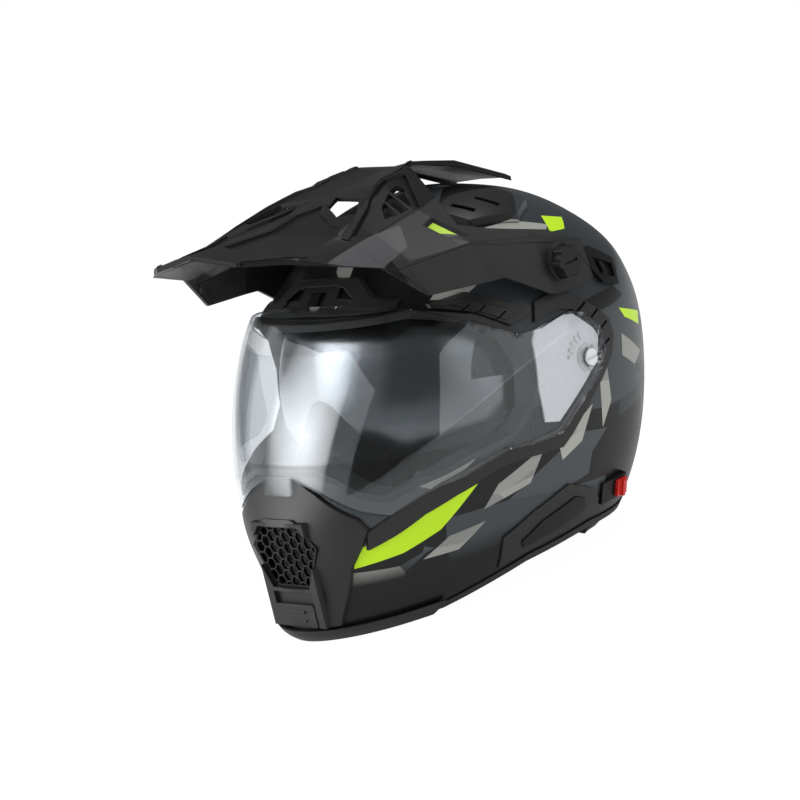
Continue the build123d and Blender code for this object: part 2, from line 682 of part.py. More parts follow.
brow_recess_floor = grown(shell_form, brow_recess_face)
brow_skin = skin_panel(shell_form, brow_frame_block, fit_gap, brow_frame_face)
with BuildPart() as brow_recess:
    add(brow_recess_block)
    add(brow_recess_floor, mode=Mode.SUBTRACT)
with BuildPart() as brow_vent:
    add(brow_skin)
    add([brow_recess.part, brow_mouth_block, mirror(brow_mouth_block, about=Plane.YZ, mode=Mode.PRIVATE)],
        mode=Mode.SUBTRACT)
brow_vent.part.label = "brow_vent"
export_step(brow_vent.part, "parts/brow_vent.step")

# Brow side panels, each with a raised plate
panel_face = 2.2
panel_plate_face = 3
brow_panel_shares = [
    (-0.463, 0.772), (-0.351, 0.779), (-0.2, 0.707), (-0.188, 0.683), (-0.28, 0.675), (-0.375, 0.732),
    (-0.468, 0.762),
]
panel_plate_shares = [(-0.42, 0.762), (-0.37, 0.764), (-0.26, 0.713), (-0.255, 0.697), (-0.29, 0.691)]
brow_panel_block = side_block(side_points(brow_panel_shares), 0, 0, beyond_x)
panel_plate_block = side_block(side_points(panel_plate_shares), 0, 0, beyond_x)
brow_panel_skin = skin_panel(shell_form, brow_panel_block, fit_gap, panel_face)
panel_plate_skin = skin_panel(shell_form, panel_plate_block, fit_gap, panel_plate_face)
with BuildPart() as brow_panel_left:
    add(brow_panel_skin)
    add(panel_plate_skin)
brow_panel_left.part.label = "brow_panel_left"
export_step(brow_panel_left.part, "parts/brow_panel_left.step")

# Communicator mounts low on each side: a surround with a pocket, and a cover seated in it
surround_face = 2
cover_face = 3.2
cover_corner = 1.5
surround_shares = [
    (-0.447, 0.152), (-0.32, 0.19), (-0.149, 0.223), (-0.011, 0.178), (0.027, 0.136), (0.021, 0.103),
    (-0.106, 0.096), (-0.32, 0.086), (-0.452, 0.07),
]
cover_shares = [
    (-0.372, 0.12), (-0.282, 0.155), (-0.117, 0.18), (-0.064, 0.162), (-0.055, 0.135), (-0.106, 0.118),
    (-0.29, 0.105), (-0.356, 0.102),
]
surround_block = side_block(side_points(surround_shares), 0, 0, beyond_x)
cover_block = side_block(side_points(cover_shares), cover_corner, 0, beyond_x)
surround_skin = skin_panel(shell_form, surround_block, fit_gap, surround_face)
cover_skin = skin_panel(shell_form, cover_block, fit_gap, cover_face)
with BuildPart() as cover_pocket:
    with BuildSketch(Plane.YZ):
        with BuildLine():
            outline(side_points(cover_shares), cover_corner)
        make_face()
        offset(amount=fit_gap)
    extrude(amount=beyond_x)
with BuildPart() as comms_surround_left:
    add(surround_skin)
    add(cover_pocket.part, mode=Mode.SUBTRACT)
comms_surround_left.part.label = "comms_surround_left"
export_step(comms_surround_left.part, "parts/comms_surround_left.step")
with BuildPart() as comms_cover_left:
    add(cover_skin)
comms_cover_left.part.label = "comms_cover_left"
export_step(comms_cover_left.part, "parts/comms_cover_left.step")

# Crown vents: two low scoops with a pair of slots each
crown_vent_face = 5
crown_vent_corner = 2
crown_slot_width = 4
crown_slot_depth = 2.5
crown_low_share = 0.7
crown_vent_shares = [
    (0.38, -0.17), (0.58, -0.13), (0.68, 0.05), (0.6, 0.17), (0.44, 0.12), (0.35, -0.05),
]
crown_slot_shares = [((0.43, -0.1), (0.55, -0.07)), ((0.47, 0.0), (0.59, 0.03))]
crown_slot_floor = grown(shell_form, crown_vent_face - crown_slot_depth)
with BuildPart() as crown_vent_block:
    with BuildSketch(Plane.XY.offset(crown_low_share * shell_height)):
        with BuildLine():
            outline(plan_points(crown_vent_shares), crown_vent_corner)
        make_face()
    extrude(amount=shell_height)
crown_vent_skin = skin_panel(shell_form, crown_vent_block.part, fit_gap, crown_vent_face)
with BuildPart() as crown_slots:
    with BuildSketch(Plane.XY.offset(crown_low_share * shell_height)):
        for ends in crown_slot_shares:
            with BuildLine(mode=Mode.PRIVATE) as slot_line:
                Line(*plan_points(ends))
            trace(slot_line.line, crown_slot_width)
    extrude(amount=shell_height)
    add(crown_slot_floor, mode=Mode.SUBTRACT)
with BuildPart() as crown_vent_left:
    add(crown_vent_skin)
    add(crown_slots.part, mode=Mode.SUBTRACT)
crown_vent_left.part.label = "crown_vent_left"
export_step(crown_vent_left.part, "parts/crown_vent_left.step")

# Rear exhausts: a fairing behind each knob, with a recess in which a slider moves
exhaust_face = 3.5
exhaust_recess_face = 1.4
exhaust_slider_face = 4.6
exhaust_shares = [(0.145, 0.79), (0.229, 0.782), (0.33, 0.73), (0.29, 0.665), (0.2, 0.688), (0.17, 0.725)]
exhaust_recess_shares = [(0.205, 0.755), (0.3, 0.72), (0.283, 0.688), (0.2, 0.706)]
exhaust_slider_shares = [(0.217, 0.742), (0.24, 0.735), (0.234, 0.708), (0.213, 0.713)]
exhaust_block = side_block(side_points(exhaust_shares), 0, 0, beyond_x)
exhaust_recess_block = side_block(side_points(exhaust_recess_shares), 0, 0, beyond_x)
exhaust_slider_block = side_block(side_points(exhaust_slider_shares), 0, 0, beyond_x)
exhaust_skin = skin_panel(shell_form, exhaust_block, fit_gap, exhaust_face)
exhaust_recess = skin_panel(shell_form, exhaust_recess_block, exhaust_recess_face, cut_overrun)
exhaust_slider_skin = skin_panel(
    shell_form, exhaust_slider_block, exhaust_recess_face + fit_gap, exhaust_slider_face)
with BuildPart() as rear_exhaust_left:
    add(exhaust_skin)
    add(exhaust_recess, mode=Mode.SUBTRACT)
rear_exhaust_left.part.label = "rear_exhaust_left"
export_step(rear_exhaust_left.part, "parts/rear_exhaust_left.step")
with BuildPart() as exhaust_slider_left:
    add(exhaust_slider_skin)
exhaust_slider_left.part.label = "exhaust_slider_left"
export_step(exhaust_slider_left.part, "parts/exhaust_slider_left.step")

# Peak: a folded sheet, given by stations along its length. Each station has its place behind the pivots as
# a share of the peak's reach, then the height of its middle, and the half width and height of its ridge,
# shoulder and edge, as shares of the shell's.
peak_wall = 3
peak_shoulder_thin_share = 0.8
peak_ridge_thin_share = 0.3
peak_stations_shares = [
    (-1.02, 1.036, 0.47, 0.991, 0.62, 0.976, 0.74, 0.962),
    (-0.825, 1.032, 0.53, 0.992, 0.62, 0.975, 0.705, 0.956),
    (-0.66, 1.03, 0.52, 1.0, 0.67, 0.955, 0.785, 0.913),
    (-0.544, 1.045, 0.465, 1.025, 0.79, 0.905, 0.877, 0.818),
    (-0.33, 1.062, 0.36, 1.072, 0.88, 0.905, 0.965, 0.8),
    (-0.097, 1.078, 0.24, 1.091, 0.965, 0.87, 1.032, 0.716),
    (0.107, 1.05, 0.21, 1.055, 1.0, 0.82, 1.035, 0.712),
    (0.35, 0.975, 0.19, 0.972, 1.0, 0.8, 1.035, 0.712),
]


def peak_section(middle, ridge_x, ridge, shoulder_x, shoulder, edge_x, edge):
    """The sheet's closed outline at one station."""
    thin = peak_wall * peak_shoulder_thin_share
    top = front_points([(0, middle), (ridge_x, ridge), (shoulder_x, shoulder), (edge_x, edge)])
    under = [
        (top[3][0] - peak_wall, top[3][1]),
        (top[2][0] - thin, top[2][1] - thin),
        (top[1][0] - peak_wall * peak_ridge_thin_share, top[1][1] - peak_wall),
        (0, top[0][1] - peak_wall),
    ]
    return both_sides(top + under)


with BuildPart() as peak_sheet:
    for y_share, *section_shares in peak_stations_shares:
        with BuildSketch(Plane.XZ.offset(-pivot_y - y_share * peak_reach)):
            with BuildLine():
                Polyline(*peak_section(*section_shares), close=True)
            make_face()
    loft(ruled=True)

# The peak's plan, its windows, the side openings above its arms, and the band that runs back over the crown
peak_band_share = 0.23
peak_rear_share = 0.11
peak_plan_shares = [
    (0, -1.0), (0.31, -0.981), (0.597, -0.859), (0.68, -0.823), (1.2, -0.7), (1.2, 0.4), (0, 0.4),
]
peak_window_shares = [(0.1, -0.43), (0.31, -0.455), (0.44, -0.57), (0.34, -0.6), (0.16, -0.52)]
peak_opening_shares = [
    (-0.1, 1.2), (-0.15, 1.09), (-0.25, 1.0), (-0.31, 0.945), (-0.23, 0.918), (-0.12, 0.893),
    (0.005, 0.868), (0.11, 0.82), (0.2, 0.76), (0.36, 0.7), (0.5, 0.7), (0.5, 1.2),
]
peak_arm_shares = [
    (-0.66, 0.894), (-0.362, 0.9), (-0.245, 0.875), (-0.122, 0.856), (0, 0.83), (0.064, 0.803),
    (0.106, 0.746), (0.1, 0.72), (-0.016, 0.712), (-0.053, 0.708), (-0.122, 0.723), (-0.287, 0.799),
    (-0.596, 0.818),
]
peak_under_shares = peak_arm_shares[7:] + [(-0.596, 0.5), (1, 0.5), (1, 0.72)]
peak_band_x = peak_band_share * half_width
peak_rear_y = pivot_y + peak_rear_share * front_reach
peak_openings = [
    side_block(side_points(peak_opening_shares), 0, peak_band_x, beyond_x),
    side_block(side_points(peak_opening_shares), 0, -beyond_x, -peak_band_x),
    side_block(side_points(peak_under_shares), 0, -beyond_x, beyond_x),
]
with BuildPart() as peak_keep:
    with BuildSketch():
        with BuildLine():
            Polyline(*both_sides(plan_points(peak_plan_shares, peak_reach)), close=True)
        make_face()
        for side in (1, -1):
            with BuildLine():
                Polyline(*[(side * x, y) for x, y in plan_points(peak_window_shares)], close=True)
            make_face(mode=Mode.SUBTRACT)
    extrude(amount=beyond_z)
with BuildPart() as arm_space:
    with BuildSketch(Plane.YZ.offset(-beyond_x)):
        with BuildLine():
            Polyline(*side_points(peak_arm_shares), close=True)
        make_face()
        offset(amount=fit_gap, kind=Kind.INTERSECTION)
    extrude(amount=2 * beyond_x)
with BuildPart() as peak_rear_space:
    for side in (1, -1):
        with BuildSketch(Plane.YZ.offset(side * peak_band_x)):
            with Locations((peak_rear_y + cut_overrun, shell_height)):
                Rectangle(2 * cut_overrun, shell_height)
        extrude(amount=side * beyond_x)
with BuildPart() as peak_shell:
    add(peak_sheet.part)
    add(peak_keep.part, mode=Mode.INTERSECT)
    add([*peak_openings, arm_space.part, peak_rear_space.part], mode=Mode.SUBTRACT)
peak_shell.part.label = "peak_shell"
export_step(peak_shell.part, "parts/peak_shell.step")

# Peak arms, each with a round pad under its knob
knob_radius = 12.5
knob_height = 6.5
knob_pin_radius = 4
knob_lobe_count = 6
knob_lobe_radius = 4
knob_taper_angle = 8
boss_wall = 3.2
arm_pad_radius = 13
arm_pad_height = 7.1
arm_pad_proud = 4.6
knob_behind_share = -0.03
knob_level_share = 0.788
knob_y = pivot_y + knob_behind_share * front_reach
knob_z = knob_level_share * shell_height
knob_plane = Plane(origin=(0, knob_y, knob_z), x_dir=(0, 1, 0), z_dir=(1, 0, 0))
arm_pad_x = half_width + arm_pad_proud
arm_block = side_block(side_points(peak_arm_shares), 0, 0, beyond_x)
with BuildPart() as peak_arm_left:
    add(peak_sheet.part)
    add(arm_block, mode=Mode.INTERSECT)
    with BuildSketch(knob_plane.offset(arm_pad_x)):
        Circle(arm_pad_radius)
    extrude(amount=-arm_pad_height)
    with BuildSketch(knob_plane):
        Circle(knob_pin_radius + fit_gap)
    extrude(amount=beyond_x, mode=Mode.SUBTRACT)
    with BuildSketch(knob_plane):
        Circle(knob_pin_radius + boss_wall + running_gap)
    extrude(amount=arm_pad_x - arm_pad_height, mode=Mode.SUBTRACT)
peak_arm_left.part.label = "peak_arm_left"
export_step(peak_arm_left.part, "parts/peak_arm_left.step")

# Knobs with lobed grips and a coin slot, whose pins turn in bosses that stand out from the shell
boss_bore_depth = 6
boss_root = 12
knob_seat_x = arm_pad_x + fit_gap
boss_face_x = arm_pad_x - arm_pad_height - fit_gap
with BuildPart() as peak_knob_left:
    with BuildSketch(knob_plane.offset(knob_seat_x)):
        Circle(knob_radius - knob_lobe_radius / 2)
        with PolarLocations(knob_radius - knob_lobe_radius, knob_lobe_count):
            Circle(knob_lobe_radius)
    extrude(amount=knob_height, taper=knob_taper_angle)
    with BuildSketch(knob_plane.offset(knob_seat_x + knob_height)):
        Rectangle(knob_radius, coin_slot_width)
    extrude(amount=-coin_slot_depth, mode=Mode.SUBTRACT)
    with BuildSketch(knob_plane.offset(boss_face_x - boss_bore_depth + running_gap)):
        Circle(knob_pin_radius)
    extrude(amount=knob_seat_x - boss_face_x + boss_bore_depth - running_gap)
peak_knob_left.part.label = "peak_knob_left"
export_step(peak_knob_left.part, "parts/peak_knob_left.step")

boss_foot = grown(shell_form, fit_gap)
with BuildPart() as peak_boss_left:
    with BuildSketch(knob_plane.offset(boss_face_x - boss_bore_depth - boss_root)):
        Circle(knob_pin_radius + fit_gap + boss_wall)
    extrude(amount=boss_bore_depth + boss_root)
    with BuildSketch(knob_plane.offset(boss_face_x - boss_bore_depth)):
        Circle(knob_pin_radius + fit_gap)
    extrude(amount=boss_bore_depth, mode=Mode.SUBTRACT)
    add(boss_foot, mode=Mode.SUBTRACT)
peak_boss_left.part.label = "peak_boss_left"
export_step(peak_boss_left.part, "parts/peak_boss_left.step")

# Brow vent slider, a ribbed block that moves up the slope of the recess
brow_slider_z = brow_slider_share * shell_height
brow_slider_floor = grown(shell_form, brow_recess_face + fit_gap)
brow_slider_top = grown(shell_form, brow_recess_face + fit_gap + brow_slider_height)
with BuildPart() as brow_vent_slider:
    add(brow_slider_top)
    with BuildSketch(Plane.XZ.offset(-brow_rear_y)):
        with Locations((0, brow_slider_z)):
            Rectangle(brow_slider_width, brow_slider_length)
    extrude(amount=front_reach, mode=Mode.INTERSECT)
    add(brow_slider_floor, mode=Mode.SUBTRACT)
brow_vent_slider.part.label = "brow_vent_slider"
export_step(brow_vent_slider.part, "parts/brow_vent_slider.step")

# Chin strap: webbing from an anchor plate inside each side of the shell, down to a ratchet buckle
strap_wall = 2
strap_width = 22
strap_end_x = 20
strap_corner = 8
anchor_wall = 1.6
anchor_low_z = 23
anchor_height = 10
strap_place_share = 0.012
strap_shares = [(0.775, 0.124), (0.735, 0.09), (0.45, 0.042)]
strap_y = pivot_y + strap_place_share * front_reach
buckle_length = 31
buckle_height = 7
buckle_side_wall = 2
buckle_floor_wall = 1.8
tongue_wall = 2.4
tongue_length = 30
tongue_tooth_count = 5
tongue_tooth_pitch = 3
tongue_tooth_height = 1
lever_wall = 2
lever_length = 28
lever_pin_radius = 1.5
lever_pin_inset = 4
lever_lip = 3
strap_end_z = 10
tongue_low_z = strap_end_z - tongue_wall / 2
buckle_floor_z = tongue_low_z - fit_gap
buckle_base_z = buckle_floor_z - buckle_floor_wall
anchor_front_y = strap_y - strap_width / 2
anchor_rear_y = strap_y + strap_width / 2
anchor_top_z = anchor_low_z + anchor_height
anchor_foot = [(anchor_front_y, anchor_low_z), (anchor_rear_y, anchor_low_z)]
anchor_points = anchor_foot + [(anchor_rear_y, anchor_top_z), (anchor_front_y, anchor_top_z)]
anchor_block = side_block(anchor_points, 0, 0, beyond_x)
anchor_skin = skin_panel(shell_form, anchor_block, eps_seat - anchor_wall, eps_seat)
strap_space = grown(shell_form, eps_seat - anchor_wall - fit_gap)
with BuildPart() as strap_anchor_left:
    add(anchor_skin)
strap_anchor_left.part.label = "strap_anchor_left"
export_step(strap_anchor_left.part, "parts/strap_anchor_left.step")
with BuildPart() as chin_strap_left:
    with BuildSketch(Plane.XZ.offset(-strap_y)):
        with BuildLine(mode=Mode.PRIVATE) as strap_line:
            FilletPolyline(*front_points(strap_shares), (strap_end_x, strap_end_z), radius=strap_corner)
        trace(strap_line.line, strap_wall)
    extrude(amount=strap_width / 2, both=True)
    add(strap_space, mode=Mode.INTERSECT)
    split(bisect_by=Plane.YZ.offset(strap_end_x + fit_gap), keep=Keep.TOP)
chin_strap_left.part.label = "chin_strap_left"
export_step(chin_strap_left.part, "parts/chin_strap_left.step")

# Ratchet buckle: a channel with cheeks, a toothed tongue that slides into it, and a release lever below
lever_axis_x = lever_pin_inset - strap_end_x
lever_axis_z = buckle_base_z - lever_pin_radius - fit_gap
buckle_plane = Plane.XZ.offset(-strap_y)
buckle_ear_height = 6
buckle_ear_rise = 1
buckle_ear_z = lever_axis_z + buckle_ear_rise
with BuildPart() as buckle_base:
    with BuildSketch(Plane.YZ.offset(-strap_end_x)):
        with Locations((strap_y, buckle_base_z + buckle_height / 2)):
            Rectangle(strap_width + 2 * buckle_side_wall, buckle_height)
        with Locations((strap_y, buckle_floor_z + buckle_height / 2)):
            Rectangle(strap_width, buckle_height, mode=Mode.SUBTRACT)
    extrude(amount=buckle_length)
    for side in (1, -1):
        with BuildSketch(buckle_plane.offset(side * strap_width / 2)):
            with Locations((lever_axis_x, buckle_ear_z)):
                Rectangle(2 * lever_pin_inset, buckle_ear_height)
        extrude(amount=side * buckle_side_wall)
    with BuildSketch(buckle_plane):
        with Locations((lever_axis_x, lever_axis_z)):
            Circle(lever_pin_radius + fit_gap)
    extrude(amount=strap_width, both=True, mode=Mode.SUBTRACT)
buckle_base.part.label = "buckle_base"
export_step(buckle_base.part, "parts/buckle_base.step")

tongue_tip_x = strap_end_x - tongue_length
tongue_top_z = tongue_low_z + tongue_wall
tongue_teeth = []
for index in range(tongue_tooth_count):
    tooth_x = tongue_tip_x + tongue_tooth_pitch * (index + 1)
    tongue_teeth += [(tooth_x, tongue_top_z), (tooth_x, tongue_top_z + tongue_tooth_height)]
tongue_teeth += [(tooth_x + tongue_tooth_pitch, tongue_top_z)]
tongue_heel = [(strap_end_x, tongue_top_z), (strap_end_x, tongue_low_z), (tongue_tip_x, tongue_low_z)]
with BuildPart() as buckle_tongue:
    with BuildSketch(buckle_plane):
        with BuildLine():
            Polyline((tongue_tip_x, tongue_top_z), *tongue_teeth, *tongue_heel, close=True)
        make_face()
    extrude(amount=strap_width / 2 - running_gap, both=True)
buckle_tongue.part.label = "buckle_tongue"
export_step(buckle_tongue.part, "parts/buckle_tongue.step")

with BuildPart() as buckle_lever:
    with BuildSketch(buckle_plane):
        with Locations((lever_axis_x + lever_length / 2, lever_axis_z)):
            Rectangle(lever_length, lever_wall)
        with Locations((lever_axis_x + lever_length - lever_wall / 2, lever_axis_z - lever_lip / 2)):
            Rectangle(lever_wall, lever_lip)
    extrude(amount=strap_width / 2 - running_gap, both=True)
    with BuildSketch(buckle_plane):
        with Locations((lever_axis_x, lever_axis_z)):
            Circle(lever_pin_radius)
    extrude(amount=strap_width / 2 + buckle_side_wall, both=True)
buckle_lever.part.label = "buckle_lever"
export_step(buckle_lever.part, "parts/buckle_lever.step")

# Sun visor lever: a ridged tab on a flat track low on the left, just behind the communicator's mount
track_length = 26
track_width = 16
track_proud = 2.5
track_root = 8
visor_lever_length = 10
visor_lever_width = 12
visor_lever_wall = 2.4
visor_lever_travel = 12
ridge_wall = 2.5
ridge_height = 2
track_lean_share = 0.344
track_across_share = 0.845
track_behind_share = 0.109
track_level_share = 0.148
track_x = track_across_share * half_width
track_y = pivot_y + track_behind_share * front_reach
track_z = track_level_share * shell_height
track_plane = Plane(origin=(track_x, track_y, track_z), x_dir=(0, 1, 0), z_dir=(1, 0, -track_lean_share))
track_seat = grown(shell_form, fit_gap)
with BuildPart() as visor_lever_base:
    with BuildSketch(track_plane.offset(-track_root)):
        Rectangle(track_length, track_width)
    extrude(amount=track_root + track_proud)
    add(track_seat, mode=Mode.SUBTRACT)
visor_lever_base.part.label = "visor_lever_base"
export_step(visor_lever_base.part, "parts/visor_lever_base.step")
with BuildPart() as visor_lever:
    with BuildSketch(track_plane.offset(track_proud + fit_gap)):
        with Locations((visor_lever_travel / 2, 0)):
            Rectangle(visor_lever_length, visor_lever_width)
    extrude(amount=visor_lever_wall)
    with BuildSketch(track_plane.offset(track_proud + fit_gap + visor_lever_wall)):
        with Locations((visor_lever_travel / 2, 0)):
            Rectangle(ridge_wall, visor_lever_width)
    extrude(amount=ridge_height)
visor_lever.part.label = "visor_lever"
export_step(visor_lever.part, "parts/visor_lever.step")

# The right-hand pieces mirror the left-hand ones
left_pieces = (
    cheek_pad_left, visor_pin_left, side_trim_left, pivot_plate_left, pivot_button_left, brow_panel_left,
    comms_surround_left, comms_cover_left, crown_vent_left, rear_exhaust_left, exhaust_slider_left,
    peak_arm_left, peak_knob_left, peak_boss_left, strap_anchor_left, chin_strap_left,
)
for left_piece in left_pieces:
    right_name = left_piece.part.label.replace("left", "right")
    with BuildPart() as right_piece:
        mirror(left_piece.part, about=Plane.YZ)
    right_piece.part.label = right_name
    export_step(right_piece.part, f"parts/{right_name}.step")
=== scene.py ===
import bpy
from math import cos, radians, sin
from mathutils import Matrix, Vector


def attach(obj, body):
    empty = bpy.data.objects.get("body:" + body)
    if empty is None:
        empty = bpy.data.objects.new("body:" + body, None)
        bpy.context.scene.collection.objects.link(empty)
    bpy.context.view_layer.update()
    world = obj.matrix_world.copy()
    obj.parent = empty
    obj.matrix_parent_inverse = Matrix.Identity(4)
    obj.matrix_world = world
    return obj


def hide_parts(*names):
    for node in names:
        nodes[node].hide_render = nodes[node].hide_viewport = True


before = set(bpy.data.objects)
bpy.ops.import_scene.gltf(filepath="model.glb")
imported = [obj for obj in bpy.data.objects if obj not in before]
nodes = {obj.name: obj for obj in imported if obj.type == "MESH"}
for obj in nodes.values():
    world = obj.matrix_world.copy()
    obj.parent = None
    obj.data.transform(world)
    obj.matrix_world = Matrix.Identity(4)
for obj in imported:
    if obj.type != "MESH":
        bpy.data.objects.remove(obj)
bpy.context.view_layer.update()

# The view of the helmet, as it was photographed from its front left with its nose tipped up a little.
# Lengths are in metres, apart from the drawn outlines of carved pieces, which are in millimetres.
# The pivots of the shield are the point that the camera is measured from.
pivot_y, pivot_z = 0.033, 0.13992
view_turn, nose_tip = radians(46), radians(18)
camera_away, camera_left, camera_down = 1.6, 0.0346, 0.029
right_way = Vector((cos(view_turn), sin(view_turn) * cos(nose_tip), -sin(view_turn) * sin(nose_tip)))
up_way = Vector((0, sin(nose_tip), cos(nose_tip)))
back_way = right_way.cross(up_way)
camera_data = bpy.data.cameras.new("camera")
camera_data.sensor_width = 36
camera_data.lens = 100.8
camera = bpy.data.objects.new("camera", camera_data)
bpy.context.scene.collection.objects.link(camera)
camera.location = (Vector((0, pivot_y, pivot_z)) - right_way * camera_left - up_way * camera_down
                   + back_way * camera_away)
camera.rotation_euler = Matrix((right_way, up_way, back_way)).transposed().to_euler()
bpy.context.scene.camera = camera
bpy.context.scene.view_settings.view_transform = "Standard"

# Studio: a white room of soft boxes. The floor and the world show white to the camera, in gloss and
# through the clear shield, while the light that falls on the helmet stays at a plain level.


def flat_colour(colour):
    """A colour of three parts, with full cover."""
    return (*colour, 1)


class Value:
    """A socket in a finish; arithmetic on it adds its Math nodes."""

    def __init__(self, finish, socket):
        self.finish = finish
        self.socket = socket

    def math(self, operation, *others):
        return self.finish.node("ShaderNodeMath", {"operation": operation}, [self, *others])

    def __add__(self, other):
        return self.math("ADD", other)

    __radd__ = __add__

    def __mul__(self, other):
        return self.math("MULTIPLY", other)

    __rmul__ = __mul__

    def __sub__(self, other):
        return self.math("SUBTRACT", other)

    def __rsub__(self, other):
        return self.finish.node("ShaderNodeMath", {"operation": "SUBTRACT"}, [other, self])

    def __gt__(self, other):
        return self.math("GREATER_THAN", other)

    def output(self, name):
        """Another output of the same node."""
        return Value(self.finish, self.socket.node.outputs[name])


class Finish:
    """A material made of nodes, with its shader's own sockets for what is the same all over."""

    mix_mask, mix_first, mix_second, mix_result = 0, 6, 7, 2

    def __init__(self, name, **constants):
        self.material = bpy.data.materials.new(name)
        self.material.use_nodes = True
        self.tree = self.material.node_tree
        self.shader = self.tree.nodes["Principled BSDF"]
        self.body = Value(self, self.shader.outputs[0])
        self.set(**constants)

    def put(self, socket, value):
        if isinstance(value, Value):
            self.tree.links.new(value.socket, socket)
        else:
            socket.default_value = value

    def node(self, kind, settings=None, inputs=(), output=0):
        """A node of a kind, its settings made first, then the values or links of its sockets."""
        made = self.tree.nodes.new(kind)
        for name, setting in (settings or {}).items():
            if name == "stops":
                ramp = made.color_ramp
                ramp.interpolation = "CONSTANT"
                while len(ramp.elements) < len(setting):
                    ramp.elements.new(0.5)
                for element, (place, colour) in zip(ramp.elements, setting):
                    element.position = place
                    element.color = flat_colour(colour)
            else:
                setattr(made, name, setting)
        given = inputs.items() if isinstance(inputs, dict) else enumerate(inputs)
        for key, value in given:
            self.put(made.inputs[key], value)
        return Value(self, made.outputs[output])

    def mix(self, first, second, mask):
        """One colour or another, by a mask."""
        first = flat_colour(first) if isinstance(first, tuple) else first
        second = flat_colour(second) if isinstance(second, tuple) else second
        return self.node("ShaderNodeMix", {"data_type": "RGBA"}, {
            self.mix_mask: mask, self.mix_first: first, self.mix_second: second}, self.mix_result)

    def point(self):
        """A place on the piece, in Object coordinates."""
        return self.node("ShaderNodeTexCoord", output="Object")

    def parts(self, vector):
        """The three numbers of a place or a colour."""
        first = self.node("ShaderNodeSeparateXYZ", None, [vector])
        return first, first.output("Y"), first.output("Z")

    def relief(self, height, strength, distance, edge=0.0):
        """The shader's normal, from a height and, where it is given, from edges rounded by a radius."""
        inputs = {"Height": height, "Strength": strength, "Distance": distance}
        if edge:
            inputs["Normal"] = self.node("ShaderNodeBevel", {"samples": 4}, {"Radius": edge})
        self.set(Normal=self.node("ShaderNodeBump", None, inputs))

    def set(self, **values):
        for name, value in values.items():
            self.put(self.shader.inputs[name.replace("_", " ")], value)

    def join(self, share, first, second):
        """Ends the material in a mix of two shaders, by the second one's share."""
        mixed = self.node("ShaderNodeMixShader", None, [share, first, second])
        self.tree.links.new(mixed.socket, self.tree.nodes["Material Output"].inputs["Surface"])


class Room(Finish):
    """The world, its nodes made in the same way as a finish's."""

    def __init__(self, name):
        self.material = bpy.data.worlds.new(name)
        self.material.use_nodes = True
        self.tree = self.material.node_tree
        self.shader = self.tree.nodes["Background"]


floor_size = 6.0
paper_glow = 1.08
floor_in_gloss, glow_share = 0.35, 0.9
bpy.ops.object.select_all(action="DESELECT")
bpy.ops.mesh.primitive_plane_add(size=floor_size, location=(0, 0, 0))
floor = bpy.context.active_object
floor.name = "floor"
paper = Finish("white paper", Base_Color=flat_colour((0.8, 0.8, 0.8)), Roughness=0.9)
paper_light = paper.node("ShaderNodeEmission", None, {"Color": flat_colour((1, 1, 1)), "Strength": paper_glow})
camera_ray = paper.node("ShaderNodeLightPath", output="Is Camera Ray")
gloss_ray, clear_ray = camera_ray.output("Is Glossy Ray"), camera_ray.output("Is Transmission Ray")
paper_mask = camera_ray.math("MAXIMUM", gloss_ray * floor_in_gloss).math("MAXIMUM", clear_ray)
paper.join(paper_mask * glow_share, paper.body, paper_light)
floor.data.materials.append(paper.material)

room_light, room_in_gloss = 0.5, 0.2
room = Room("white room")
camera_ray = room.node("ShaderNodeLightPath", output="Is Camera Ray")
gloss_ray, clear_ray = camera_ray.output("Is Glossy Ray"), camera_ray.output("Is Transmission Ray")
room_mask = camera_ray.math("MAXIMUM", clear_ray)
unseen_level = gloss_ray * (room_in_gloss - room_light) + room_light
room.set(Color=flat_colour((1, 1, 1)), Strength=room_mask.math("MAXIMUM", unseen_level))
bpy.context.scene.world = room.material
helmet_middle = Vector((0, 0, 0.15))


def soft_box(name, place, size_x, size_y, power):
    """An oblong lamp that faces the helmet."""
    data = bpy.data.lights.new(name, "AREA")
    data.shape = "RECTANGLE"
    data.size, data.size_y = size_x, size_y
    data.energy = power
    lamp = bpy.data.objects.new(name, data)
    bpy.context.scene.collection.objects.link(lamp)
    lamp.location = place
    lamp.rotation_euler = (Vector(place) - helmet_middle).to_track_quat("Z", "Y").to_euler()
    return lamp


soft_box("front_box", (-1.25, -1.7, 0.92), size_x=4.3, size_y=2.2, power=24)
soft_box("near_box", (2.15, 0.2, 0.72), size_x=2.9, size_y=1.7, power=18)
soft_box("top_box", (0.2, 0.5, 2.3), size_x=1.5, size_y=1.0, power=26)
glow_box = soft_box("glow_box", (-1.2, -1.7, 0.95), size_x=1.8, size_y=2.2, power=11)
glow_box.data.spread = radians(56)

# Outer shell and crown scoops: moulded fibre shell under a satin paint, in dark facets of slate and black
# with a few pale shards and lime stripes along the chin bar and behind the shield's pivots.
black_paint = (0.0055, 0.0058, 0.0068)
slate_paint = (0.023, 0.029, 0.034)
light_slate_paint = (0.042, 0.05, 0.055)
grey_paint = (0.055, 0.063, 0.068)
pale_paint = (0.29, 0.29, 0.27)
dull_shard_paint, bright_shard_paint = (0.2, 0.205, 0.195), (0.36, 0.36, 0.33)
lime_paint = (0.46, 0.72, 0.012)
facets_with_shards = 0.62
facet_seed_ratio = 0.37
shell_finish = Finish("satin facet paint", Specular_IOR_Level=0.2, Coat_Roughness=0.25)


def below_line(first, second, across, up):
    """Where a point is on the lower side of the line from first to second, in the side view."""
    run, rise = second[0] - first[0], second[1] - first[1]
    return (across - first[0]) * rise - (up - first[1]) * run > 0


